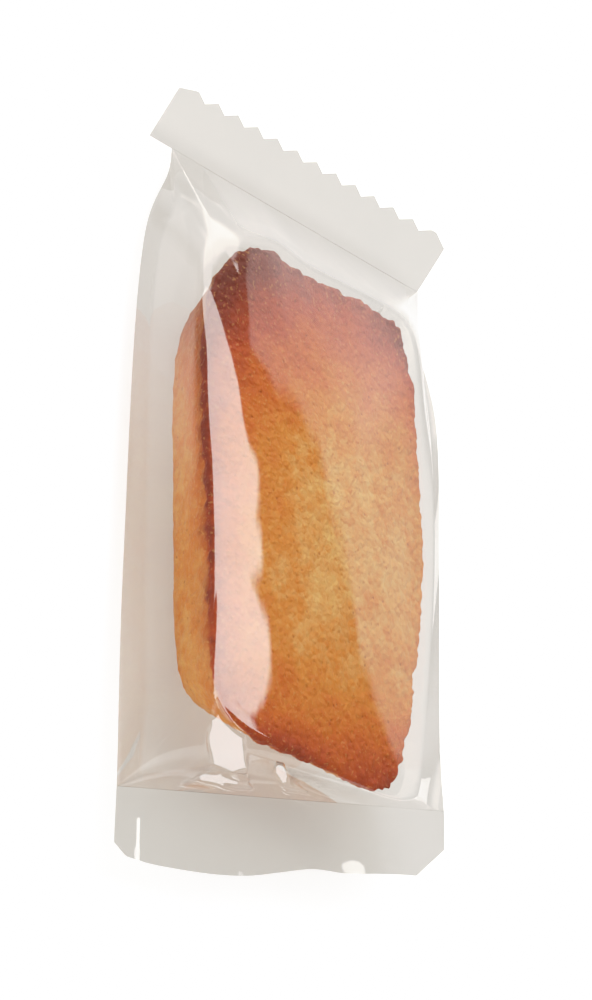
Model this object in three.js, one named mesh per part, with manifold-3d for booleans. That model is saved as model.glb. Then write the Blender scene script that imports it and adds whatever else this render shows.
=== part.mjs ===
// A small almond cake sealed in a clear sachet, modelled as the sachet's outer form.
// Millimetres, +Z up, +Y along the sachet towards its zigzag end.
import * as THREE from "three";
import Module from "manifold-3d";

// Cake under the film: wide face up, seen from above as a rectangle with swollen sides.
const cakeHalfWidth = 26;
const cakeHalfLength = 42;
const cakeSquareness = 5;
const apexSquareness = 6.5;
const rimBulge = 1.6;
const rimHeight = 13.6;
const domeRise = 2.6;
const filmClearance = 0.7;

// The top's left edge stands higher at the far end and lower at the near end.
const cornerReach = 12;
const cornerRaise = 0.9;
const raiseSpan = [-6, 22];
const cornerDrop = 0.65;
const dropSpan = [18, 38];

// Film between the cake's rim and the outline of the filled part.
const ridgeInset = 3.2;
const ridgeDrop = 0.22;
const foldThickness = 0.6;
const undercut = 1.5;
const undercutMost = 9;
const undercutLengthwise = 0.4;

// Outline of the filled part, anticlockwise from the lower right, as seen from above.
const lowerRight = [35.4, -39, 11.8];
const rightWaist = [33.4, 2, 11.6];
const rightShoulder = [32.2, 29, 11.2];
const rightNeck = [30.2, 43.6, 8.6];
const upperRight = [38.4, 54.6, 2.8];
const upperLeft = [-23.4, 59, 2];
const leftNeck = [-24.6, 55, 2.3];
const leftShoulder = [-30, 43.3, 2.6];
const leftWaist = [-34.5, -16, 3.6];
const lowerLeft = [-34.5, -54.15, 3.6];

// Zigzag seal at the upper end, tilted up from its root line.
const topRootLeft = [-28.8, 59.8, 1.7];
const topRootRight = [38, 55.8, 2.4];
const topBand = 10;
const topTilt = 42;
const toothPitch = 4.87;
const toothDepth = 1.2;
const toothCount = 13;
const plainEnd = 4;
const topCornerCut = [2.4, 2.6];

// Plain seal at the lower end, clear of the table and rising evenly to its right corner.
const bottomEdgeLeft = [-34.9, -65.35];
const bottomEdgeRight = [35.6, -50.96];
const bottomCutLeft = [2.6, 1.6];
const bottomCutRight = [6.4, 5.2];
const bottomSag = [0.2, -1.2, -1.8, -2.1, -1.9, -0.8, 0.2, -0.1, 0.3, 0.6, 0.2];

const sealThickness = 0.8;
const topOverlap = 0.64;
const bottomOverlap = 1.6;

// Divisions of the faceted surface.
const sideSteps = [30, 26, 34, 26];
const domeRings = 5;
const ridgeRings = 4;
const skirtRings = 4;
const columnsPerTooth = 2;
const bottomColumns = 30;

const filmColour = 0xe6e1d8;

const vector = (p) => new THREE.Vector3(...p);

// One corner-to-corner run of the rim: side 0 right, 1 top, 2 left, 3 bottom, t from 0 to 1.
function rimPoint(side, t) {
  const run = 2 * t - 1;
  const atApex = (side === 1 && run > 0) || (side === 2 && run < 0);
  const power = atApex ? apexSquareness : cakeSquareness;
  const reach = (1 + Math.abs(run) ** power) ** (-1 / power);
  const swell = side % 2 === 0 ? rimBulge * (1 - run ** 2) : 0;
  const long = (cakeHalfLength + filmClearance) * reach;
  const wide = (cakeHalfWidth + filmClearance) * reach + swell;
  const places = [
    [wide, long * run],
    [-wide * run, long],
    [-wide, -long * run],
    [wide * run, -long],
  ];
  const [x, y] = places[side];
  return new THREE.Vector3(x, y, topHeight(x, y));
}

// Height of the film over the cake's top.
function topHeight(x, y) {
  const u = Math.min(1, (x / (cakeHalfWidth + filmClearance)) ** 2);
  const v = Math.min(1, (y / (cakeHalfLength + filmClearance)) ** 2);
  const dome = domeRise * (1 - u) * (1 - v);
  const byLeftEdge = Math.exp(-(((x + cakeHalfWidth) / cornerReach) ** 2));
  const raise = cornerRaise * THREE.MathUtils.smoothstep(y, ...raiseSpan);
  const drop = cornerDrop * THREE.MathUtils.smoothstep(-y, ...dropSpan);
  return rimHeight + filmClearance + dome + byLeftEdge * (raise - drop);
}

const rightSide = new THREE.CatmullRomCurve3(
  [lowerRight, rightWaist, rightShoulder, rightNeck, upperRight].map(vector),
);
const leftSide = new THREE.CatmullRomCurve3(
  [upperLeft, leftNeck, leftShoulder, leftWaist, lowerLeft].map(vector),
);

// The line where the filled part ends, on the same runs as the rim.
function groundPoint(side, t) {
  if (side === 0) return rightSide.getPoint(t);
  if (side === 2) return leftSide.getPoint(t);
  if (side === 1) return vector(upperRight).lerp(vector(upperLeft), t);
  return vector(lowerLeft).lerp(vector(lowerRight), t);
}

// A point of the dome, r from 0 in the middle to 1 at the rim.
function domePoint(rim, r) {
  return new THREE.Vector3(rim.x * r, rim.y * r, topHeight(rim.x * r, rim.y * r));
}

// The film's upper surface along one spoke: dome, rounded ridge, then straight to the ground line.
function upperSpoke(side, t) {
  const rim = rimPoint(side, t);
  const ground = groundPoint(side, t);
  const points = [];
  const inner = 1 - ridgeInset / cakeHalfWidth;
  for (let i = 1; i <= domeRings; i++) {
    points.push(domePoint(rim, (i / domeRings) * inner));
  }
  const from = domePoint(rim, inner);
  const to = rim.clone().lerp(ground, ridgeDrop);
  const arc = new THREE.QuadraticBezierCurve3(from, rim, to);
  for (let i = 1; i <= ridgeRings; i++) {
    points.push(arc.getPoint(i / ridgeRings));
  }
  for (let i = 1; i <= skirtRings; i++) {
    points.push(to.clone().lerp(ground, i / skirtRings));
  }
  return points;
}

// A point on the table under the ground line, drawn in where the line is lifted.
function basePoint(ground) {
  const lift = Math.max(0, ground.z - foldThickness);
  const inward = new THREE.Vector3(-ground.x, -ground.y * undercutLengthwise, 0);
  const reach = Math.min(lift * undercut, undercutMost);
  return new THREE.Vector3(ground.x, ground.y, 0).add(inward.setLength(reach));
}

function surface(points, faces) {
  const geometry = new THREE.BufferGeometry();
  const flat = points.flatMap((p) => [p.x, p.y, p.z]);
  geometry.setAttribute("position", new THREE.Float32BufferAttribute(flat, 3));
  geometry.setIndex(faces.flat());
  return geometry;
}

// The filled part: rings of the upper surface, a short wall to the table and a flat base.
function filledPart() {
  const spokes = [];
  sideSteps.forEach((steps, side) => {
    for (let i = 0; i < steps; i++) {
      const t = i / steps;
      const spoke = upperSpoke(side, t);
      spoke.push(basePoint(groundPoint(side, t)));
      spokes.push(spoke);
    }
  });
  const rings = spokes[0].length;
  const points = spokes.flat();
  const top = points.push(new THREE.Vector3(0, 0, topHeight(0, 0))) - 1;
  const middle = points.push(new THREE.Vector3(0, 0, 0)) - 1;
  const faces = [];
  spokes.forEach((_, i) => {
    const here = i * rings;
    const next = ((i + 1) % spokes.length) * rings;
    faces.push([top, here, next]);
    for (let k = 0; k < rings - 1; k++) {
      faces.push([here + k, here + k + 1, next + k + 1]);
      faces.push([here + k, next + k + 1, next + k]);
    }
    faces.push([middle, next + rings - 1, here + rings - 1]);
  });
  return surface(points, faces);
}

// A seal band from two lines of points, thickened along one direction.
function sealBand(inner, outer, normal) {
  const half = normal.clone().multiplyScalar(sealThickness / 2);
  const points = [];
  inner.forEach((p, i) => {
    points.push(p.clone().add(half), outer[i].clone().add(half));
    points.push(outer[i].clone().sub(half), p.clone().sub(half));
  });
  const faces = [];
  const last = (inner.length - 1) * 4;
  for (let i = 0; i < last; i += 4) {
    for (let k = 0; k < 4; k++) {
      const a = i + k;
      const b = i + ((k + 1) % 4);
      faces.push([a, a + 4, b], [b, a + 4, b + 4]);
    }
  }
  faces.push([0, 1, 2], [0, 2, 3]);
  faces.push([last, last + 2, last + 1], [last, last + 3, last + 2]);
  return surface(points, faces);
}

// How far the zigzag edge stands from the root line, u millimetres from its left end.
function zigzagReach(u, width) {
  const [cutWide, cutHigh] = topCornerCut;
  const fromRight = width - u;
  const corner = fromRight < cutWide ? cutHigh * (1 - fromRight / cutWide) : 0;
  const past = u - plainEnd;
  const inTeeth = past > 0 && past < (toothCount - 1) * toothPitch;
  const phase = Math.abs(((past / toothPitch) % 1) - 0.5) * 2;
  const notch = inTeeth ? toothDepth * (1 - phase) : 0;
  return topBand - Math.max(corner, notch);
}

function topSeal() {
  const left = vector(topRootLeft);
  const right = vector(topRootRight);
  const width = left.distanceTo(right);
  const tilt = THREE.MathUtils.degToRad(topTilt);
  const out = new THREE.Vector3(0, Math.cos(tilt), Math.sin(tilt));
  const normal = new THREE.Vector3(0, -Math.sin(tilt), Math.cos(tilt));
  const stops = [0];
  for (let i = 0; i <= (toothCount - 1) * columnsPerTooth; i++) {
    stops.push(plainEnd + (i * toothPitch) / columnsPerTooth);
  }
  stops.push(width - topCornerCut[0], width);
  const root = (u) => left.clone().lerp(right, u / width);
  const inner = stops.map((u) => root(u).addScaledVector(out, -topOverlap));
  const outer = stops.map((u) => root(u).addScaledVector(out, zigzagReach(u, width)));
  return sealBand(inner, outer, normal);
}

function bottomSeal() {
  const rootLeft = vector(lowerLeft);
  const rootRight = vector(lowerRight);
  const span = bottomEdgeRight[0] - bottomEdgeLeft[0];
  const sag = new THREE.SplineCurve(bottomSag.map((y, i) => new THREE.Vector2(i, y)));
  const inner = [];
  const outer = [];
  for (let i = 0; i <= bottomColumns; i++) {
    const t = i / bottomColumns;
    const root = rootLeft.clone().lerp(rootRight, t);
    const x = bottomEdgeLeft[0] + span * t;
    const fromRight = (1 - t) * span;
    const cutLeft = Math.max(0, 1 - (t * span) / bottomCutLeft[0]) * bottomCutLeft[1];
    const cutRight = Math.max(0, 1 - fromRight / bottomCutRight[0]) * bottomCutRight[1];
    const line = bottomEdgeLeft[1] + (bottomEdgeRight[1] - bottomEdgeLeft[1]) * t;
    const y = line + cutLeft + cutRight + sag.getPoint(t).y;
    const edge = new THREE.Vector3(x, y, root.z);
    const inside = root.clone().sub(edge).setLength(bottomOverlap);
    inner.push(root.add(inside));
    outer.push(edge);
  }
  return sealBand(outer, inner, new THREE.Vector3(0, 0, 1));
}

const solids = await Module();
solids.setup();

function solidOf(geometry) {
  const mesh = new solids.Mesh({
    numProp: 3,
    vertProperties: new Float32Array(geometry.getAttribute("position").array),
    triVerts: new Uint32Array(geometry.index.array),
  });
  return new solids.Manifold(mesh);
}

const joined = solidOf(filledPart()).add(solidOf(topSeal())).add(solidOf(bottomSeal()));
const mesh = joined.getMesh();
const geometry = new THREE.BufferGeometry();
geometry.setAttribute("position", new THREE.Float32BufferAttribute(mesh.vertProperties, 3));
geometry.setIndex(new THREE.BufferAttribute(mesh.triVerts, 1));
geometry.computeBoundingBox();
const box = geometry.boundingBox;
geometry.translate(-(box.min.x + box.max.x) / 2, -(box.min.y + box.max.y) / 2, -box.min.z);
geometry.computeVertexNormals();

const film = new THREE.MeshStandardMaterial({ color: filmColour, roughness: 0.25, metalness: 0 });
const sachet = new THREE.Mesh(geometry, film);
sachet.name = "sachet";

const part = new THREE.Group();
part.name = "wrapped_cake";
part.add(sachet);

export default part;
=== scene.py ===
import math

import bpy
import numpy as np
from mathutils import Matrix, Vector, noise


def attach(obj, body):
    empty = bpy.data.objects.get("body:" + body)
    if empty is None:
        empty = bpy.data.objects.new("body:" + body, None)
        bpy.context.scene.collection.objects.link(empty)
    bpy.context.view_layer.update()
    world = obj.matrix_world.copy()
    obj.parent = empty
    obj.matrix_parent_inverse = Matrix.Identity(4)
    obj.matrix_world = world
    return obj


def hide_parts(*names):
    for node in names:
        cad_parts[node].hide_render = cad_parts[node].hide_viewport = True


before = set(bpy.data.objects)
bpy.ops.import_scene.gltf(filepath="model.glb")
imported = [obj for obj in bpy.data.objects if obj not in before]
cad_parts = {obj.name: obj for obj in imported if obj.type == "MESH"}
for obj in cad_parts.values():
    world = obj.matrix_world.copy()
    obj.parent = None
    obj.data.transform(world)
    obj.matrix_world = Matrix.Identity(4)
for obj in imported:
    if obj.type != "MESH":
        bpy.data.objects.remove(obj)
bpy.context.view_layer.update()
mm = 0.001
cakeCentre = np.array([-1.75, -1.184, 0.0])  # middle of the cake, mm from the middle of the sachet's box


# shader maths as Python: a Wire is one socket, a Graph one node tree
class Wire:
    def __init__(self, graph, socket):
        self.graph = graph
        self.socket = socket

    def math(self, operation, *terms):
        return self.graph.node("Math", {"operation": operation}, dict(enumerate(terms)))

    def __add__(self, other):
        return self.math("ADD", self, other)

    def __radd__(self, other):
        return self.math("ADD", other, self)

    def __sub__(self, other):
        return self.math("SUBTRACT", self, other)

    def __rsub__(self, other):
        return self.math("SUBTRACT", other, self)

    def __mul__(self, other):
        return self.math("MULTIPLY", self, other)

    def __rmul__(self, other):
        return self.math("MULTIPLY", other, self)

    def __truediv__(self, other):
        return self.math("DIVIDE", self, other)

    def __pow__(self, other):
        return self.math("POWER", self, other)

    def clip(self):
        return self.graph.node("Clamp", {}, {"Value": self})

    def span(self, low, high, toLow=0.0, toHigh=1.0):
        return self.graph.node("MapRange", {"interpolation_type": "SMOOTHSTEP"}, {
            "Value": self, "From Min": low, "From Max": high, "To Min": toLow, "To Max": toHigh})


class Graph:
    def __init__(self, owner):
        self.owner = owner
        owner.use_nodes = True
        self.tree = owner.node_tree
        self.tree.nodes.clear()

    def node(self, kind, settings, sockets, out=0):
        made = self.tree.nodes.new("ShaderNode" + kind)
        for key, value in settings.items():
            if key == "stops":
                ramp = made.color_ramp
                while len(ramp.elements) < len(value):
                    ramp.elements.new(0.5)
                for element, (place, colour) in zip(ramp.elements, value):
                    element.position = place
                    element.color = (*colour, 1.0)
            else:
                setattr(made, key, value)
        for key, value in sockets.items():
            if isinstance(value, Wire):
                self.tree.links.new(value.socket, made.inputs[key])
            else:
                made.inputs[key].default_value = value
        return Wire(self, made.outputs[out])

    def colour(self, value):
        return value if isinstance(value, Wire) else (*value, 1.0)

    def mix(self, factor, first, second):
        sockets = {0: factor, 6: self.colour(first), 7: self.colour(second)}
        return self.node("Mix", {"data_type": "RGBA"}, sockets, 2)

    def attribute(self, name):
        return self.node("Attribute", {"attribute_name": name}, {}, 2)

    def place(self):
        return self.node("TexCoord", {}, {}, 3)

    def noise(self, scale, detail=2.0, roughness=0.5, vector=None):
        return self.node("TexNoise", {}, {
            "Vector": vector or self.place(), "Scale": scale, "Detail": detail, "Roughness": roughness})

    def finish(self, shader, output="OutputMaterial"):
        end = self.tree.nodes.new("ShaderNode" + output)
        self.tree.links.new(shader.socket, end.inputs["Surface"])
        return self.owner


def meshPiece(name, points, faces, material, smooth=True):
    mesh = bpy.data.meshes.new(name)
    mesh.from_pydata(((points + cakeCentre) * mm).tolist(), [], faces)
    mesh.update()
    if smooth:
        mesh.shade_smooth()
    piece = bpy.data.objects.new(name, mesh)
    bpy.context.scene.collection.objects.link(piece)
    mesh.materials.append(material)
    return piece


def ringFaces(spokes, rings):
    faces = []
    for i in range(spokes):
        here = i * rings
        there = ((i + 1) % spokes) * rings
        for k in range(rings - 1):
            faces.append((here + k, here + k + 1, there + k + 1, there + k))
    return faces


def closeEnds(faces, spokes, rings, hub):
    # fans from a hub point to the first ring, and from the next point to the last ring
    for i in range(spokes):
        j = (i + 1) % spokes
        faces.append((hub, i * rings, j * rings))
        faces.append((hub + 1, j * rings + rings - 1, i * rings + rings - 1))


def gridNormals(grid):
    around = np.roll(grid, -1, 0) - np.roll(grid, 1, 0)
    outward = np.gradient(grid, axis=1)
    normal = np.cross(outward, around)
    return normal / np.maximum(np.linalg.norm(normal, axis=2), 1e-9)[..., None]


def lumps(points, scale, octaves=3, seed=0.0):
    # fractal noise at each point, about -1 to 1; scale is the size of its lumps in mm
    shift = Vector((seed, seed * 1.7, seed * 0.3))
    scale = (scale, scale, scale) if np.isscalar(scale) else scale
    size = Vector((1 / scale[0], 1 / scale[1], 1 / scale[2]))
    shape = points.shape[:-1]
    values = [noise.fractal(Vector(p) * size + shift, 1.0, 2.0, octaves, noise_basis="PERLIN_ORIGINAL")
              for p in points.reshape(-1, 3).tolist()]
    return np.array(values).reshape(shape)


def smoothStep(low, high, value):
    t = np.clip((value - low) / (high - low), 0, 1)
    return t * t * (3 - 2 * t)


def roundedTurn(start, corner, end, rings):
    # rows of a soft bend from start to end that leans towards corner
    shares = [(i + 1) / rings for i in range(rings)]
    return [(1 - t) ** 2 * start + 2 * t * (1 - t) * corner + t * t * end for t in shares]


def straightRun(start, end, rings):
    return [start + (end - start) * (i + 1) / rings for i in range(rings)]


def rimLine(side, t, shape, clearance=0.0):
    # plan of the swollen rectangle: side 0 right, 1 far end, 2 left, 3 near end
    run = 2 * t - 1
    nearLeft, apex, rightCorners = shape["squareness"]
    onRight = (side == 0) | (side == 1) & (run < 0) | (side == 3) & (run > 0)
    power = np.where((side == 1) & (run > 0) | (side == 2) & (run < 0), apex, nearLeft)
    power = np.where(onRight, rightCorners, power)
    reach = (1 + np.abs(run) ** power) ** (-1 / power)
    long = (shape["halfLength"] + clearance) * reach
    half = shape["halfWidth"] + clearance - np.where(onRight, shape["rightInset"], 0)
    # the right side bulges in the middle, and the left side leans out towards the far end
    right, left, farLean, nearLean = shape["bulge"]
    lean = np.where(run < 0, farLean, nearLean)
    room = 1 - run ** 2
    swell = {0: right * room ** 2, 2: (left - lean * long * run) * room}.get(side, 0.0)
    wide = half * reach + swell
    hump, humpPlace, humpReach = shape["farHump"]
    farLong = long + hump * np.exp(-((-wide * run - humpPlace) / humpReach) ** 2)
    return [(wide, long * run), (-wide * run, farLong), (-wide, -long * run), (wide * run, -long)][side]


# the cake: an ingot with its wide face up, a browned crumbly rim and tapered sides
cake = {
    "halfWidth": 26.0, "halfLength": 42.0,
    "squareness": (5.0, 5.2, 9.0),  # of the near left, far left and right corners
    "bulge": (4.7, 0.1, 0.095, 0.095),  # of the right and left, then the lean of the far and near left
    "rightInset": 2.6,
    "farHump": (1.3, -11.5, 5.5),  # on the far edge: height, x and reach
    "base": {"halfWidth": 20.0, "halfLength": 33.5, "squareness": (6.0, 7.0, 6.0),
             "bulge": (0.8, 0.6, 0.04, 0.04), "rightInset": 0.0, "farHump": (0.0, 0.0, 1.0)},
    "rimHeight": 13.4, "domeRise": 2.5, "baseHeight": 0.35,
    "rimRound": 1.2, "rimDrop": 1.44, "baseRound": 3.0,  # rim: in over the top, and down the side
    "steps": (180, 130, 180, 130),  # round the right, far, left and near sides
    "topRings": 50, "rimRings": 10, "sideRings": 30, "cornerRings": 7, "soleRings": 7,
    "relief": {
        # height and size in mm, octaves, seed, then share all over, more at the rim, more on the sides
        "lump": (0.55, 9.0, 3, 3.1, 0.45, 0.20, 0.0),
        "crag": (0.38, 2.6, 4, 7.7, 0.30, 0.70, 0.35),
        "crumb": (0.20, 1.3, 3, 12.3, 0.60, 1.00, 0.0),
    },
    "rimReach": (2.5, 4.0),  # of the rougher rim, over the top and down the sides
    "soleSmooth": (2.5, 0.6, 0.8),  # heights between which the relief fades, and by how much
    "flankFrom": (0.2, 1.8),  # mm below the rim where the paler sides set in
    # browned places of the top: middle x, y, reach in mm, strength
    "browned": ((-24, 39, 15, 1.05), (22, -40, 8, 0.58), (23, 38, 9, 0.66), (-4, -43, 8, 0.34)),
    "endBrown": (0.74, 9.0, 0.54, 6.5),  # far end strength and reach, near end strength and reach
    "sideBrown": (0.50, 0.7), "leftBrown": (0.66, 6.0),  # strength and reach
    "paleMiddle": (0.09, 0.0, 2.0, 10.0, 21.0),  # strength, x, y and reach across and along
    "mottling": (0.40, 0.20, 0.10),  # of blotches, mottles and granules
    "darkest": 1.45,  # how baked the last colour of the crust is
    "crust": ((0.00, (0.95, 0.550, 0.190)), (0.14, (0.84, 0.320, 0.048)), (0.30, (0.74, 0.185, 0.022)),
              (0.50, (0.53, 0.085, 0.016)), (0.75, (0.30, 0.048, 0.020)), (1.00, (0.22, 0.046, 0.027))),
    "flankTones": ((0.79, 0.29, 0.060), (0.90, 0.49, 0.155)),
    # the fleck tone is partly pale crumbs and partly a painted highlight: glints of light on the crumb
    # the pit tone is painted shade, darkening the crumb's pits
    "fleckAndGlintTone": (0.92, 0.56, 0.21), "pitShadeTone": (0.34, 0.075, 0.012),
}


def cakeGrid(c):
    rims, bases = [], []
    for side, steps in enumerate(c["steps"]):
        t = np.arange(steps) / steps
        x, y = rimLine(side, t, c)
        rims.append(np.stack([x, y, np.full(steps, c["rimHeight"])], 1))
        x, y = rimLine(side, t, c["base"])
        bases.append(np.stack([x, y, np.full(steps, c["baseHeight"])], 1))
    rim = np.concatenate(rims)
    base = np.concatenate(bases)
    down = (base - rim) / np.linalg.norm(base - rim, axis=1)[:, None]
    inner = 1 - c["rimRound"] / c["halfWidth"]
    rows = []
    for i in range(c["topRings"]):
        r = inner * ((i + 1) / c["topRings"]) ** 0.85  # rings lie closer towards the rim
        rows.append(rim * np.array([r, r, 1]))
    end = rim + down * c["rimDrop"]
    rows += roundedTurn(rows[-1], rim, end, c["rimRings"])
    top = len(rows)
    low = base - down * c["baseRound"]
    rows += straightRun(end, low, c["sideRings"])
    foot = base.copy()
    foot[:, :2] *= 1 - c["baseRound"] / c["base"]["halfWidth"]
    rows += roundedTurn(low, base, foot, c["cornerRings"])
    rows += straightRun(foot, foot * np.array([0.04, 0.04, 1]), c["soleRings"])
    grid = np.stack(rows, 1)
    plan = grid[:, :top]
    dome = (1 - (plan[..., 0] / c["halfWidth"]) ** 2) * (1 - (plan[..., 1] / c["halfLength"]) ** 2)
    grid[:, :top, 2] += c["domeRise"] * np.clip(dome, 0, 1)
    return grid, top


def sideReach(points, c):
    # half width of the cake's plan at each point, on that point's side
    x, y = points[..., 0], points[..., 1]
    room = np.clip(1 - (y / c["halfLength"]) ** 2, 0, 1)
    right, left, farLean, nearLean = c["bulge"]
    onLeft = (left + np.where(y > 0, farLean, nearLean) * y) * room
    return c["halfWidth"] + np.where(x > 0, right * room ** 2 - c["rightInset"], onLeft)


def rimShare(points, c):
    # 0 in the middle of the plan, 1 on the rim
    x = np.abs(points[..., 0]) / sideReach(points, c)
    y = np.abs(points[..., 1]) / c["halfLength"]
    power = c["squareness"][0]
    return (x ** power + y ** power) ** (1 / power)


def bakedShare(points, c):
    # how dark the oven left each point of the top
    x, y = points[..., 0], points[..., 1]
    brown = sum(w * np.exp(-np.hypot(x - px, y - py) / reach) for px, py, reach, w in c["browned"])
    farBrown, farReach, nearBrown, nearReach = c["endBrown"]
    brown = brown + farBrown * np.exp(-np.maximum(c["halfLength"] - y, 0) / farReach)
    brown = brown + nearBrown * np.exp(-np.maximum(c["halfLength"] + y, 0) / nearReach)
    inside = np.maximum(sideReach(points, c) - np.abs(x), 0)
    leftBrown, leftReach = c["leftBrown"]
    brown = brown + np.where(x < 0, leftBrown * np.exp(-inside / leftReach), 0)
    pale, paleX, paleY, across, along = c["paleMiddle"]
    brown = brown + pale * (1 - np.exp(-((x - paleX) / across) ** 2 - ((y - paleY) / along) ** 2))
    rimBrown, rimReach = c["sideBrown"]
    return brown + rimBrown * np.exp(-inside / rimReach)


def buildCake(c, material):
    grid, top = cakeGrid(c)
    count, rings = grid.shape[:2]
    onTop = np.broadcast_to(np.arange(rings) < top, (count, rings))
    overTop, downSide = c["rimReach"]
    fromRim = np.clip(1 - rimShare(grid, c), 0, 1) * c["halfWidth"] / overTop
    underRim = np.maximum(c["rimHeight"] - grid[..., 2], 0) / downSide
    edge = np.exp(-np.where(onTop, fromRim, underRim))
    height = np.zeros((count, rings))
    for high, size, octaves, seed, allOver, atRim, onSides in c["relief"].values():
        share = allOver + atRim * edge + np.where(onTop, 0, onSides)
        height += high * share * lumps(grid, size, octaves, seed)
    fadeFrom, fadeTo, fade = c["soleSmooth"]
    height *= 1 - fade * smoothStep(fadeFrom, fadeTo, grid[..., 2])
    grid = grid + gridNormals(grid) * height[..., None]
    grid[..., 2] = np.maximum(grid[..., 2], c["baseHeight"])
    faces = ringFaces(count, rings)
    closeEnds(faces, count, rings, count * rings)
    middle = np.array([0, 0, grid[:, 0, 2].mean()])
    sole = np.array([0, 0, c["baseHeight"]])
    points = np.concatenate([grid.reshape(-1, 3), middle[None], sole[None]])
    piece = meshPiece("cake", points, faces, material)
    flank = smoothStep(*c["flankFrom"], c["rimHeight"] - points[:, 2])
    flank[:-2] *= ~onTop.reshape(-1)
    for name, values in {"baked": bakedShare(points, c), "flank": flank}.items():
        layer = piece.data.attributes.new(name, "FLOAT", "POINT")
        layer.data.foreach_set("value", values.astype(np.float32))
    return piece


def cakeMaterial(c):
    g = Graph(bpy.data.materials.new("bakedCrumb"))
    blotch = g.noise(150.0, 3.0, 0.55)
    mottle = g.noise(430.0, 4.0, 0.6)
    grain = g.noise(1700.0, 3.0, 0.65)
    fleckAndGlint = g.noise(1700.0, 1.5, 0.5)
    pit = g.node("TexVoronoi", {}, {"Vector": g.place(), "Scale": 620.0, "Randomness": 1.0})
    granule = {"Vector": g.place(), "Scale": 900.0, "Smoothness": 0.5, "Randomness": 1.0}
    granules = g.node("TexVoronoi", {"feature": "SMOOTH_F1"}, granule)
    granuleColour = g.node("TexVoronoi", {"feature": "SMOOTH_F1"}, granule, 1)
    granuleTone = g.node("SeparateColor", {}, {0: granuleColour})
    byBlotch, byMottle, byGranule = c["mottling"]
    baked = g.attribute("baked") + byBlotch * (blotch - 0.5) + byMottle * (mottle - 0.5)
    baked = baked + byGranule * (granuleTone - 0.5)
    crust = g.node("ValToRGB", {"stops": c["crust"]}, {"Fac": (baked / c["darkest"]).clip()})
    wall = g.mix((0.6 * mottle + 0.4 * blotch).span(0.36, 0.66), *c["flankTones"])
    wall = g.mix(g.attribute("baked").span(0.30, 1.10) * 0.75, wall, crust)
    crust = g.mix(g.attribute("flank"), crust, wall)
    # pale crumb flecks, partly painted highlights standing for glints on the crumb
    crust = g.mix(fleckAndGlint.span(0.60, 0.70) * 0.28, crust, c["fleckAndGlintTone"])
    # painted shade: the crumb's pits, pushed in by the bump below, darkened in the colour
    pitShade = pit.span(0.06, 0.20, 1.0, 0.0) * mottle.span(0.45, 0.6) * 0.5
    crust = g.mix(pitShade, crust, c["pitShadeTone"])
    height = 0.35 * grain + 0.9 * mottle + 0.3 * fleckAndGlint + 0.5 * pit.span(0.0, 0.3) + 0.9 * (1 - granules)
    bump = g.node("Bump", {}, {"Strength": 0.55, "Distance": 0.0007, "Height": height})
    skin = g.node("BsdfPrincipled", {}, {
        "Base Color": crust, "Roughness": grain.span(0.3, 0.7, 0.45, 0.65), "Normal": bump,
        "Specular IOR Level": 0.35, "Subsurface Weight": 0.1,
        "Subsurface Radius": (0.0022, 0.0010, 0.0004), "Subsurface Scale": 1.0})
    return g.finish(skin)


cakePiece = buildCake(cake, cakeMaterial(cake))
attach(cakePiece, "root")
print("cake built", len(cakePiece.data.polygons), "faces")

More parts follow.
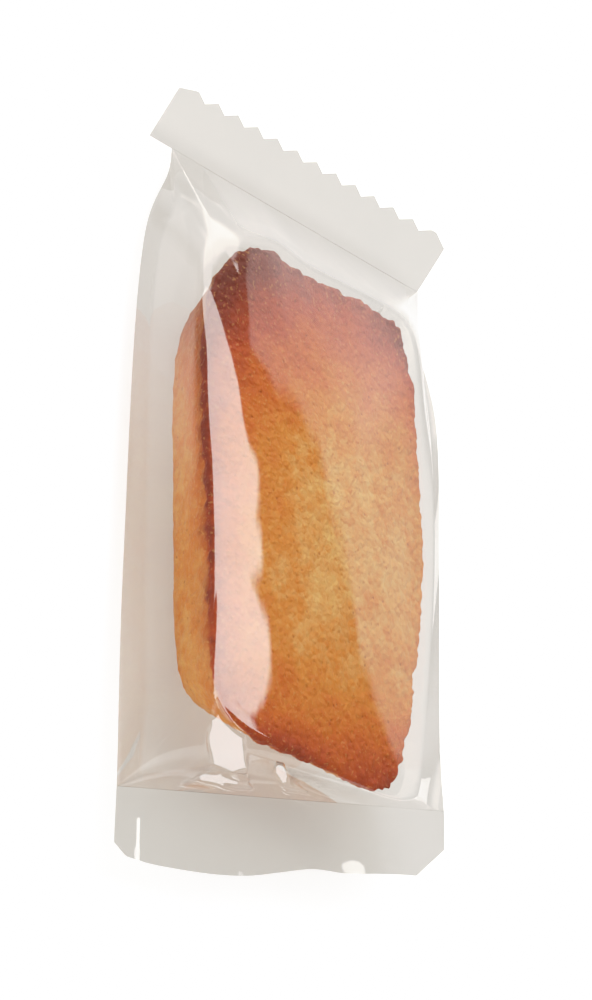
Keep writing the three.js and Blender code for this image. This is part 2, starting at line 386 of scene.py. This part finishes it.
# the film: taut over the cake's rim, folded flat on the left, with a seal at each end
film = {
    "halfWidth": cake["halfWidth"], "halfLength": cake["halfLength"], "clearance": 0.7,
    "squareness": (5.0, 6.0, 9.0), "bulge": (3.2, 0.2, 0.150, 0.095), "rightInset": 1.0,
    "farHump": cake["farHump"],
    "rimHeight": 13.6, "domeRise": 2.6, "baseHeight": 0.12,
    # lie of the top over the cake's left edge: height, reach across, and the y where it starts and is full
    "leftLie": ((0.9, 12.0, -6.0, 22.0), (-0.75, 12.0, -18.0, -38.0), (-1.3, 8.0, 20.0, 42.0)),
    "ridgeInset": {"right": 3.2, "far": 1.5, "left": (7.5, 1.5), "near": 1.4},  # left: far half, near half
    "ridgeDrop": 0.22,  # share of the way down where the bend at the rim ends
    # under the fold the film draws in by so much for each mm that the fold is up, at the two lifts
    "foldThickness": 0.6, "undercutLift": (5.0, 8.0), "undercut": (3.5, 1.5), "undercutMost": (14.0, 9.0),
    "undercutLengthwise": 0.4,
    "cornerFan": (0.28, 0.15),  # share of a side, and how fast its film leaves the near left corner
    # places of the right and left outline, from near to far and from far to near
    "right": ((37.55, -37.8, 10.0), (33.9, -30.9, 12.2), (32.0, 1.2, 12.8), (31.0, 28.3, 12.3),
              (30.2, 43.6, 8.6), (38.4, 55.78, 2.4)),
    "left": ((-23.4, 59.48, 1.76), (-24.6, 55.0, 2.3), (-30.0, 43.3, 2.6), (-34.5, -16.0, 3.6),
             (-36.65, -55.3, 5.4)),
    # flat film before a fold or seal on the right, far, left and near sides: width, rise towards
    # the cake and reach of its bend in mm, then the share of the side where it takes over
    "lips": ((0.5, 0.25, 0.3), (0.2, 0.0, 0.1), (0.4, 0.5, 0.3), (3.5, 0.0, 3.0)),
    "lipTurns": (0.12, 0.12, 0.12, 0.16),
    "steps": (160, 130, 180, 220),  # round the right, far, left and near sides
    "domeRings": 30, "ridgeRings": 16, "wallRings": 30, "cornerRings": 14, "lipRings": 4,
    "underRings": 4, "soleRings": 6,
    # slack and ripple of the film: height, size in mm, seed
    "slack": ((0.03, (15.0, 34.0, 26.0), 21.0), (0.016, (6.0, 14.0, 9.0), 33.0)),
    # flat folds of the near wall, all facing one way: how far down, left and right edge from 0 to 1
    "foldFacing": (-0.20, -0.70, 0.68), "foldLift": 0.25, "foldMost": 1.2,
    "folds": (((0.0, 0.01, 0.19), (0.4, 0.17, 0.30), (0.62, 0.24, 0.34)),
              ((0.62, 0.23, 0.35), (0.80, 0.22, 0.37), (0.94, 0.19, 0.41)),
              ((0.25, 0.39, 0.41), (0.5, 0.42, 0.48), (0.94, 0.52, 0.60))),
    # creases pressed into the film: from x, y to x, y, depth and half width in mm
    "creases": ((-28.2, 44.4, -23.6, 48.8, -0.14, 0.8),),
    "clearTint": (0.797, 0.780, 0.752), "slantTint": (0.72, 0.695, 0.665),  # slant: a long way through
    "mirror": (0.040, 0.760),  # share of light mirrored head-on, and added at a glancing angle
    "roughness": (0.015, 0.03), "dullness": 0.34,
    "seals": {
        "thickness": 0.12,
        # upper seal: root from left to right, height and tilt of its band, teeth and cut corners
        "topRootLeft": (-28.8, 59.8, 1.7), "topRootRight": (38.0, 55.8, 2.4),
        "topBand": 10.0, "topTilt": 42.0,
        "toothPitch": 4.87, "toothDepth": 1.2, "toothCount": 13, "plainEnd": 4.0,
        "topCutLeft": (3.6, 1.0), "topCutRight": (3.3, 1.65), "topOverlap": 0.06,
        "sway": ((0.08, 0.21, 0.6), (0.04, 0.47, 0.0)),  # height in mm, radians for each mm across, start
        "ribs": (0.004, 1.6, 5.5, 3.5),  # height and pitch, and the heights of the band where they fade
        "pressDepth": 0.05, "pressWidth": 0.5,
        "pressMarks": ((31.0, -0.2), (47.5, 0.15), (13.0, 0.3)),  # mm from the left, and lean
        # lower seal: its edge, cut corners and sagging line
        "bottomEdgeLeft": (-36.95, -66.5), "bottomEdgeRight": (37.7, -49.8), "bottomOverlap": 0.05,
        "bottomCutLeft": (2.6, 1.6), "bottomCutRight": (6.4, 5.2),
        "bottomSag": (0.2, -1.2, -1.8, -2.1, -1.9, -0.8, 0.2, -0.1, 0.3, 0.6, 0.2),
        "bottomWave": (0.04, 0.025, (17.0, 12.0, 20.0), 44.0),  # lift, height, size in mm, seed
        # curled places of the lower seal: x, y, height and reach, and its sharp crease, as in the film
        "curls": ((-6.4, -62.0, 0.19, 3.0), (20.6, -52.2, 0.36, 5.6)),
        "creases": ((-31.2, -58.8, -31.2, -66.0, 0.14, 0.5),),
    },
}


def throughPoints(points, t):
    # centripetal Catmull-Rom curve through a few places of the outline
    p = np.array(points, float)
    p = np.concatenate([[2 * p[0] - p[1]], p, [2 * p[-1] - p[-2]]])
    segments = len(p) - 3
    place = np.clip(np.asarray(t) * segments, 0, segments - 1e-9)
    index = place.astype(int)
    s = (place - index)[:, None]
    a, b, c, d = (p[index + i] for i in range(4))
    da, db, dc = (np.sqrt(np.linalg.norm(v - u, axis=1))[:, None] for u, v in ((a, b), (b, c), (c, d)))
    t1 = ((b - a) / da - (c - a) / (da + db) + (c - b) / db) * db
    t2 = ((c - b) / db - (d - b) / (db + dc) + (d - c) / dc) * db
    return b + t1 * s + (3 * (c - b) - 2 * t1 - t2) * s ** 2 + (2 * (b - c) + t1 + t2) * s ** 3


def easeFrom(t, reach, slope):
    # holds back near 0, so that the film fans out from a corner, and meets t at reach
    s = np.clip(t / reach, 0, 1)
    eased = 3 * s ** 2 - 2 * s ** 3 + slope * (s ** 3 - 2 * s ** 2 + s) + s ** 3 - s ** 2
    return np.where(t < reach, reach * eased, t)


def groundLine(f, side, t):
    # where the film meets its fold or seal, with sides as in rimLine
    reach, slope = f["cornerFan"]
    if side in (0, 2):
        points = np.array(f["right" if side == 0 else "left"], float)
        t = 1 - easeFrom(1 - t, reach, slope) if side == 2 else t
        knots = np.concatenate([[0], np.cumsum(np.linalg.norm(np.diff(points, axis=0), axis=1))])
        return throughPoints(points, np.interp(t, knots / knots[-1], np.linspace(0, 1, len(points))))
    t = easeFrom(t, reach, slope) if side == 3 else t
    ends = {1: (f["right"][-1], f["left"][0]), 3: (f["left"][-1], f["right"][0])}[side]
    return np.array(ends[0]) + (np.array(ends[1]) - np.array(ends[0])) * t[:, None]


def lipShape(f, side, t):
    # a side's own lip, growing out of the lip of the side before it
    own = np.array(f["lips"][side])
    last = np.array(f["lips"][side - 1])
    return own + (last - own) * smoothStep(f["lipTurns"][side], 0.0, t)[:, None]


def domeHeight(f, x, y):
    u = x / (f["halfWidth"] + f["clearance"])
    v = y / (f["halfLength"] + f["clearance"])
    height = f["rimHeight"] + f["clearance"]
    height = height + f["domeRise"] * np.clip(1 - u ** 2, 0, 1) * np.clip(1 - v ** 2, 0, 1)
    for high, reach, start, full in f["leftLie"]:
        height = height + high * np.exp(-((x + f["halfWidth"]) / reach) ** 2) * smoothStep(start, full, y)
    return height


def ridgeStart(f, rim):
    # share of the way to the rim where the film's top starts to bend down
    x, y = rim[:, 0] / f["halfWidth"], rim[:, 1] / f["halfLength"]
    reaches = {"right": (x, f["halfWidth"]), "left": (-x, f["halfWidth"]),
               "far": (y, f["halfLength"]), "near": (-y, f["halfLength"])}
    weights = {side: np.clip(place, 0, None) ** 10 for side, (place, _) in reaches.items()}
    farLeft, nearLeft = f["ridgeInset"]["left"]
    insets = dict(f["ridgeInset"], left=nearLeft + (farLeft - nearLeft) * smoothStep(-0.1, 0.4, y))
    inset = sum(weights[side] * insets[side] / half for side, (_, half) in reaches.items())
    return 1 - inset / sum(weights.values())


def filledFilm(f):
    rims, grounds, lips, runs, sides = [], [], [], [], []
    for side, steps in enumerate(f["steps"]):
        t = np.arange(steps) / steps
        x, y = rimLine(side, t, f, f["clearance"])
        rims.append(np.stack([x, y, domeHeight(f, x, y)], 1))
        grounds.append(groundLine(f, side, t))
        lips.append(lipShape(f, side, t))
        runs.append(t)
        sides.append(np.full(steps, side))
    rim, ground, lip, run, side = (np.concatenate(v) for v in (rims, grounds, lips, runs, sides))
    rows = []
    inner = ridgeStart(f, rim)
    for i in range(f["domeRings"]):
        p = rim.copy()
        p[:, :2] *= (inner * (i + 1) / f["domeRings"])[:, None]
        p[:, 2] = domeHeight(f, p[:, 0], p[:, 1])
        rows.append(p)
    end = rim + (ground - rim) * f["ridgeDrop"]
    rows += roundedTurn(rows[-1], rim, end, f["ridgeRings"])
    # down the wall, round a soft corner, then flat out to the fold or seal
    lipWidth, lipRise, lipBend = (lip[:, i:i + 1] for i in range(3))
    inward = (end - ground) * np.array([1, 1, 0])
    inward /= np.linalg.norm(inward, axis=1)[:, None]
    corner = ground + inward * lipWidth + np.array([0, 0, 1]) * lipRise
    wall = corner - end
    before = corner - wall * lipBend / np.linalg.norm(wall, axis=1)[:, None]
    after = corner + (ground - corner) * np.clip(lipBend / lipWidth, 0, 0.8)
    rows += straightRun(end, before, f["wallRings"])
    rows += roundedTurn(before, corner, after, f["cornerRings"])
    rows += straightRun(after, ground, f["lipRings"])
    upperRows = len(rows)
    # under the fold, in to where the film lies on the table, then to the middle
    lift = np.maximum(0, ground[:, 2] - f["foldThickness"])
    drawIn = -ground * np.array([1, f["undercutLengthwise"], 0])
    drawIn /= np.linalg.norm(drawIn, axis=1)[:, None]
    draw, most = (np.interp(lift, f["undercutLift"], f[key]) for key in ("undercut", "undercutMost"))
    foot = ground * np.array([1, 1, 0]) + drawIn * np.minimum(lift * draw, most)[:, None]
    foot[:, 2] = f["baseHeight"]
    rows += straightRun(ground, foot, f["underRings"])
    rows += straightRun(foot, foot * np.array([0.05, 0.05, 1]), f["soleRings"])
    # how far down from the rim to the fold each point lies
    drop = ground - rim
    fall = [((row - rim) * drop).sum(1) / (drop * drop).sum(1) for row in rows]
    return np.stack(rows, 1), upperRows, side, run, np.clip(np.stack(fall, 1), 0, 1)


def segmentDistance(points, start, stop):
    along = np.array(stop) - np.array(start)
    share = np.clip(((points - np.array(start)) @ along) / (along @ along), 0, 1)
    return np.linalg.norm(points - np.array(start) - share[..., None] * along, axis=-1)


def creased(points, creases):
    gaps = ((segmentDistance(points[..., :2], (x0, y0), (x1, y1)) / wide, high)
            for x0, y0, x1, y1, high, wide in creases)
    return sum(high * np.exp(-gap) for gap, high in gaps)


def wrinkle(f, grid, upperRows, side, run, fall):
    upper = grid[:, :upperRows]
    normal = gridNormals(grid)[:, :upperRows]
    free = smoothStep(upperRows - 1.0, upperRows - 9.0, np.arange(upperRows))[None]  # none at the fold
    push = sum(high * lumps(upper, size, 2, seed) for high, size, seed in f["slack"])
    push = (push + creased(upper, f["creases"])) * free
    fall = fall[:, :upperRows]
    outside = 9.0  # a place beside all folds, for the other three sides
    place = np.where(side == 3, run, outside)[:, None]
    facing = np.array(f["foldFacing"]) / np.linalg.norm(f["foldFacing"])
    lean = np.maximum(normal @ facing, 0.4)
    for edges in f["folds"]:
        down, left, right = np.array(edges).T
        left, right = np.interp(fall, down, left), np.interp(fall, down, right)
        across = (place - left) / (right - left)
        inside = smoothStep(-0.08, 0.08, across) * smoothStep(1.08, 0.92, across)
        inside = inside * smoothStep(down[0], down[0] + 0.08, fall)
        inside = inside * smoothStep(down[-1], down[-1] - 0.10, fall)
        middle = (inside[..., None] * upper).sum((0, 1)) / inside.sum()
        away = (middle - upper) @ facing / lean + f["foldLift"]
        push = push + inside * np.clip(away, -f["foldMost"], f["foldMost"])
    grid[:, :upperRows] = upper + normal * push[..., None]
    return grid


def sealSlab(inner, outer, normal, rows, thickness, wave):
    columns = len(inner)
    sheet = np.stack([inner + (outer - inner) * (r / (rows - 1)) for r in range(rows)], 1)
    sheet = sheet + normal * wave(sheet)[..., None]
    share = np.linspace(0, 1, rows)
    thin = np.clip(np.minimum(share, 1 - share) * 6, 0.1, 1)  # thins out to its root and edge
    half = normal * (thin * thickness / 2)[None, :, None]
    points = np.concatenate([(sheet + half).reshape(-1, 3), (sheet - half).reshape(-1, 3)])
    offset = columns * rows
    faces, rims = [], []
    for i in range(columns - 1):
        for k in range(rows - 1):
            a, b = i * rows + k, (i + 1) * rows + k
            faces.append((a, b, b + 1, a + 1))
            faces.append((offset + a, offset + a + 1, offset + b + 1, offset + b))
        for k in (0, rows - 1):
            a, b = i * rows + k, (i + 1) * rows + k
            quad = (a, a + offset, b + offset, b)
            rims.append(quad if k == 0 else quad[::-1])
    for i in (0, columns - 1):
        for k in range(rows - 1):
            a = i * rows + k
            quad = (a, a + 1, a + 1 + offset, a + offset)
            rims.append(quad if i == 0 else quad[::-1])
    return points, faces, rims


def cutCorner(fromEnd, cut):
    # how much a cut corner takes off, this far from its end of the seal
    wide, deep = cut
    return np.clip(1 - fromEnd / wide, 0, 1) * deep


def zigzagReach(s, u, width):
    corner = cutCorner(u, s["topCutLeft"]) + cutCorner(width - u, s["topCutRight"])
    past = u - s["plainEnd"]
    inTeeth = (past > 0) & (past < (s["toothCount"] - 1) * s["toothPitch"])
    phase = np.abs((past / s["toothPitch"]) % 1 - 0.5) * 2
    notch = np.where(inTeeth, s["toothDepth"] * (1 - phase), 0)
    return s["topBand"] - np.maximum(corner, notch)


def topSeal(s):
    left, right = np.array(s["topRootLeft"]), np.array(s["topRootRight"])
    width = np.linalg.norm(right - left)
    tilt = math.radians(s["topTilt"])
    out = np.array([0, math.cos(tilt), math.sin(tilt)])
    normal = np.array([0, -math.sin(tilt), math.cos(tilt)])
    perTooth = 6
    teeth = s["plainEnd"] + np.arange((s["toothCount"] - 1) * perTooth + 1) * s["toothPitch"] / perTooth
    plainLeft = np.linspace(0, s["plainEnd"], 6)[:-1]
    plainRight = np.linspace(teeth[-1], width, 8)[1:]
    u = np.concatenate([plainLeft, teeth, plainRight])
    root = left + (right - left) * (u / width)[:, None]
    outer = root + out * zigzagReach(s, u, width)[:, None]

    def wave(sheet):
        high = (sheet - left) @ out
        across = (sheet - left) @ ((right - left) / width)
        sway = sum(rise * np.sin(across * turn + start) for rise, turn, start in s["sway"])
        ribHeight, ribPitch, ribEnd, ribFull = s["ribs"]
        ribs = ribHeight * np.cos(high * 2 * math.pi / ribPitch) * smoothStep(ribEnd, ribFull, high)
        press = sum(np.exp(-np.abs(across - place - lean * high) / s["pressWidth"])
                    for place, lean in s["pressMarks"])
        return sway * np.clip(high / s["topBand"], 0, 1) + ribs - s["pressDepth"] * press

    return sealSlab(root - out * s["topOverlap"], outer, normal, 30, s["thickness"], wave)


def bottomSeal(s, rootLeft, rootRight):
    t = np.linspace(0, 1, 130)
    root = np.array(rootLeft) + (np.array(rootRight) - np.array(rootLeft)) * t[:, None]
    (leftX, leftY), (rightX, rightY) = s["bottomEdgeLeft"], s["bottomEdgeRight"]
    span = rightX - leftX
    cuts = cutCorner(t * span, s["bottomCutLeft"]) + cutCorner((1 - t) * span, s["bottomCutRight"])
    sag = throughPoints([(i, y, 0) for i, y in enumerate(s["bottomSag"])], t)[:, 1]
    outer = np.stack([leftX + span * t, leftY + (rightY - leftY) * t + cuts + sag, root[:, 2]], 1)
    inside = root - outer
    inside /= np.linalg.norm(inside, axis=1)[:, None]

    def wave(sheet):
        lift, height, size, seed = s["bottomWave"]
        rise = lift + height * lumps(sheet, size, 2, seed) + creased(sheet, s["creases"])
        for x, y, high, reach in s["curls"]:
            away = np.hypot(sheet[..., 0] - x, sheet[..., 1] - y)
            rise = rise + high * np.exp(-(away / reach) ** 2)
        return np.clip(rise, 0, 1) * smoothStep(0.0, 0.3, np.linspace(1, 0, sheet.shape[1]))[None]

    upward = np.array([0, 0, 1.0])
    return sealSlab(outer, root + inside * s["bottomOverlap"], upward, 26, s["thickness"], wave)


def buildFilm(f, material):
    grid, upperRows, side, run, fall = filledFilm(f)
    grid = wrinkle(f, grid, upperRows, side, run, fall)
    grid[..., 2] = np.maximum(grid[..., 2], f["baseHeight"])
    count, rings = grid.shape[:2]
    hub = count * rings
    faces = ringFaces(count, rings)
    closeEnds(faces, count, rings, hub)
    points = [grid.reshape(-1, 3), np.stack([grid[:, 0].mean(0), [0, 0, f["baseHeight"]]])]
    start = hub + 2
    upperSeal = topSeal(f["seals"])
    lowerSeal = bottomSeal(f["seals"], f["left"][-1], f["right"][0])
    topEnd = start + len(upperSeal[0])
    cutEdges = []
    for sealPoints, sealFaces, sealRims in (upperSeal, lowerSeal):
        points.append(sealPoints)
        faces += [tuple(v + start for v in face) for face in sealFaces]
        cutEdges += [tuple(v + start for v in face) for face in sealRims]
        start += len(sealPoints)
    piece = meshPiece("film", np.concatenate(points), faces + cutEdges, material)
    smooth = np.arange(len(piece.data.polygons)) < len(faces)
    piece.data.polygons.foreach_set("use_smooth", smooth)
    # the film turns sharply at its folded outline
    ends = np.empty(len(piece.data.edges) * 2, np.int32)
    piece.data.edges.foreach_get("vertices", ends)
    folded = ((ends < hub) & (ends % rings == upperRows - 1)).reshape(-1, 2).all(1)
    piece.data.edges.foreach_set("use_edge_sharp", folded)
    # the heat of the upper seal leaves the film behind the cake a little dull
    behind = np.where(side == 1, smoothStep(0.0, 0.08, run) * smoothStep(0.95, 0.84, run), 0.0)[:, None]
    pastRidge = smoothStep(f["domeRings"] + 1.0, f["domeRings"] + 8.0, np.arange(rings))[None]
    dull = np.zeros(len(piece.data.vertices), np.float32)
    dull[:hub] = (behind * pastRidge).reshape(-1)
    dull[hub + 2:topEnd] = 1.0
    piece.data.attributes.new("dull", "FLOAT", "POINT").data.foreach_set("value", dull)
    return piece


def filmMaterial(f):
    g = Graph(bpy.data.materials.new("clearFilm"))
    drawn = g.node("Mapping", {}, {"Vector": g.place(), "Scale": (1.0, 0.3, 1.0)})
    streak = g.noise(170.0, 2.0, 0.5, drawn)
    haze = g.noise(60.0, 2.0, 0.5)
    bump = g.node("Bump", {}, {"Strength": 0.03, "Distance": 0.0004, "Height": streak})
    facing = g.node("LayerWeight", {}, {"Blend": 0.5, "Normal": bump}, 1)
    headOn, glancing = f["mirror"]
    single = headOn + glancing * facing ** 5
    shine = (2 * single / (1 + single) + haze.span(0.4, 0.7, 0.0, 0.008)).clip()  # both faces of the film
    gloss = g.node("BsdfPrincipled", {}, {
        "Base Color": (1, 1, 1, 1), "Metallic": 1.0, "Normal": bump,
        "Roughness": streak.span(0.3, 0.7, *f["roughness"]) + f["dullness"] * g.attribute("dull")})
    clear = g.node("BsdfTransparent", {}, {"Color": (*f["clearTint"], 1)})
    slant = g.node("BsdfTransparent", {}, {"Color": (*f["slantTint"], 1)})
    clear = g.node("MixShader", {}, {0: facing.span(0.42, 0.88), 1: clear, 2: slant})
    return g.finish(g.node("MixShader", {}, {0: shine, 1: clear, 2: gloss}))


filmPiece = buildFilm(film, filmMaterial(film))
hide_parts("sachet")
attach(filmPiece, "root")
print("film built", len(filmPiece.data.polygons), "faces")

# floor, lights and camera; azimuths are degrees from +X towards +Y
studio = {
    "floorSize": 4.0, "floorDrop": 0.0001, "tableGlow": 0.66,
    "floorTones": ((0.605, 0.608, 0.61), (0.615, 0.618, 0.62)),
    "panels": {
        # azimuth, elevation, distance, width, height, brightness
        "frontStrip": (-64.0, 31.0, 1.3, 0.27, 0.27, 5.2),
        "fill": (122.0, 57.0, 1.25, 0.60, 0.60, 4.9),
        "lowFill": (196.0, 14.0, 1.25, 0.50, 0.50, 4.5),
        "nearLow": (-95.0, 7.0, 1.25, 0.50, 0.20, 14.0),
    },
    "unmirrored": ("fill", "lowFill", "nearLow"),  # lamps that the film doesn't mirror
    # soft surround, as the film mirrors it; angles in degrees, spans and shades as shares
    "tint": (1.0, 0.985, 0.97), "ceiling": 0.08,
    "wall": {"azimuth": 29.6, "top": 36.2, "tilt": 0.23, "softness": 1.2, "bright": 1.15,
             "side": (0.05, 0.35), "foot": (0.16, 0.40), "footShade": (0.35, 1.5),
             "brighter": 0.60, "brighterAside": (-0.06, 0.04), "brighterUnder": (0.46, 0.56)},
    "box": {"azimuth": 63.0, "halfWidth": 49.0, "sideSoftness": 2.0, "from": 48.6, "to": 73.0,
            "tilt": 0.075, "softness": 0.5, "bright": 5.2},
    "window": {"azimuth": 105.0, "halfWidth": 33.0, "sideSoftness": 12.0, "top": 46.0,
               "softness": 8.0, "bright": 0.9},
    "skylight": {"azimuth": 84.0, "halfWidth": 14.0, "sideSoftness": 3.0, "from": -3.0,
                 "softness": 2.0, "bright": 2.4},
    "horizon": {"azimuth": 190.0, "halfWidth": 60.0, "sideSoftness": 15.0, "top": 42.0, "bright": 1.3},
    "room": {"azimuth": -122.0, "side": (0.45, 0.75), "bright": 0.4},
    # camera response: scene brightness to picture brightness
    "response": ((0.3, 0.3), (0.6, 0.59), (0.9, 0.80), (1.05, 0.92), (1.15, 0.97), (1.3, 1.0), (1.75, 1.0)),
    "responseEnd": 2.0,
}
camera = {
    "azimuth": -151.02, "elevation": 36.70, "roll": 72.85,
    "distance": 1600.0, "sensor": 36.0, "clipEnd": 20.0,  # mm, mm, m
    "picture": (592, 1000), "cakePixel": (250.07, 537.15),  # where the cake's middle on the table is seen
    "pixelsPerMm": 6.25175,
}


def towards(azimuth, elevation):
    a, e = math.radians(azimuth), math.radians(elevation)
    return Vector((math.cos(a) * math.cos(e), math.sin(a) * math.cos(e), math.sin(e)))


def floorPiece(s):
    half = s["floorSize"] / 2 / mm
    points = np.array([[-half, -half, 0], [half, -half, 0], [half, half, 0], [-half, half, 0]])
    points[:, 2] = -s["floorDrop"] / mm
    g = Graph(bpy.data.materials.new("paleFloor"))
    cloud = g.noise(6.0, 2.0, 0.5)
    skin = g.node("BsdfPrincipled", {}, {
        "Base Color": g.mix(cloud.span(0.3, 0.7), *s["floorTones"]), "Roughness": 0.9,
        "Specular IOR Level": 0.1, "Emission Color": (1, 1, 1, 1), "Emission Strength": s["tableGlow"]})
    piece = meshPiece("floor", points, [(0, 1, 2, 3)], g.finish(skin), False)


def panelLight(s, name):
    azimuth, elevation, distance, width, height, brightness = s["panels"][name]
    lamp = bpy.data.lights.new(name, "AREA")
    lamp.shape = "RECTANGLE"
    lamp.size = width
    lamp.size_y = height
    lamp.energy = brightness * math.pi * width * height
    holder = bpy.data.objects.new(name, lamp)
    holder.location = towards(azimuth, elevation) * distance
    holder.rotation_euler = towards(azimuth, elevation).to_track_quat("Z", "Y").to_euler()
    holder.visible_camera = False
    holder.visible_glossy = name not in s["unmirrored"]
    bpy.context.scene.collection.objects.link(holder)


def surround(s):
    g = Graph(bpy.data.worlds.new("studio"))
    direction = g.node("TexCoord", {}, {}, 0)
    x, y, z = (g.node("SeparateXYZ", {}, {"Vector": direction}, i) for i in range(3))
    flat = (1 - z * z) ** 0.5 + 0.0001

    def ahead(azimuth):
        return math.cos(math.radians(azimuth)) * x + math.sin(math.radians(azimuth)) * y

    def above(height, elevation, softness):
        return height.span(*(math.sin(math.radians(elevation + d * softness)) for d in (-1, 1)))

    def within(part):
        spread = (part["halfWidth"] + d * part["sideSoftness"] for d in (1, -1))
        return (ahead(part["azimuth"]) / flat).span(*(math.cos(math.radians(angle)) for angle in spread))

    # a white wall on the far right, shaded at its foot
    w = s["wall"]
    aside = ahead(w["azimuth"] + 90).span(-0.2, 0.2, -0.2, 0.2)  # tilts level out past 0.2
    wall = 1 - above(z - w["tilt"] * aside, w["top"], w["softness"])
    wall = wall * ahead(w["azimuth"]).span(*w["side"])
    foot = z.span(*w["foot"])
    shade, shadeAside = w["footShade"]
    wall = wall * (foot + (1 - foot) * (shade + shadeAside * aside))
    brighter = aside.span(*w["brighterAside"]) * z.span(*w["brighterUnder"], 1.0, 0.0)
    wall = wall * (1 + w["brighter"] * brighter)
    # a softbox above it, with a window and a skylight beside the box
    b = s["box"]
    underBoxTop = 1 - above(z, b["to"], b["softness"])
    box = above(z - b["tilt"] * aside, b["from"], b["softness"]) * underBoxTop * within(b)
    pane = s["window"]
    window = within(pane) * (1 - above(z, pane["top"], pane["softness"]))
    slot = s["skylight"]
    skylight = within(slot) * above(z, slot["from"], slot["softness"]) * underBoxTop
    sides = (window * pane["bright"] + skylight * slot["bright"]) * (1 - box)
    # a low glow on the left, and a bright room on the near side
    low = s["horizon"]
    horizon = within(low) * z.span(0.0, math.sin(math.radians(low["top"])), 1.0, 0.0)
    room = ahead(s["room"]["azimuth"]).span(*s["room"]["side"])
    ceiling = s["ceiling"]
    bright = ceiling + (w["bright"] - ceiling) * wall + (s["room"]["bright"] - ceiling) * room
    bright = bright + b["bright"] * box + sides + horizon * low["bright"]
    sky = g.node("Background", {}, {"Color": (*s["tint"], 1.0), "Strength": bright})
    bpy.context.scene.world = g.finish(sky, "OutputWorld")


def cameraResponse(s):
    look = bpy.context.scene.view_settings
    look.view_transform = "Standard"
    look.use_curve_mapping = True
    end = s["responseEnd"]
    look.curve_mapping.white_level = (end, end, end)
    curve = look.curve_mapping.curves[3]
    for seen, shown in s["response"]:
        curve.points.new(seen / end, shown)
    for point in curve.points:
        point.handle_type = "AUTO_CLAMPED"
    look.curve_mapping.update()


def studioCamera(c):
    back = towards(c["azimuth"], c["elevation"])
    level = towards(c["azimuth"] + 90, 0)
    roll = math.radians(c["roll"])
    right = math.cos(roll) * level + math.sin(roll) * back.cross(level)
    toWorld = Matrix((right, back.cross(right), back)).transposed()
    (wide, high), (cakeX, cakeY) = c["picture"], c["cakePixel"]
    pixel = 1 / c["pixelsPerMm"]
    offset = Vector(((wide / 2 - cakeX) * pixel, (cakeY - high / 2) * pixel, c["distance"]))
    lens = bpy.data.cameras.new("camera")
    lens.sensor_width = c["sensor"]
    lens.lens = c["sensor"] * c["distance"] / (high * pixel)
    lens.clip_end = c["clipEnd"]
    holder = bpy.data.objects.new("camera", lens)
    place = (toWorld @ offset + Vector(cakeCentre)) * mm
    holder.matrix_world = Matrix.Translation(place) @ toWorld.to_4x4()
    bpy.context.scene.collection.objects.link(holder)
    bpy.context.scene.camera = holder


floorPiece(studio)
for panelName in studio["panels"]:
    panelLight(studio, panelName)
surround(studio)
cameraResponse(studio)
studioCamera(camera)
print("studio set")
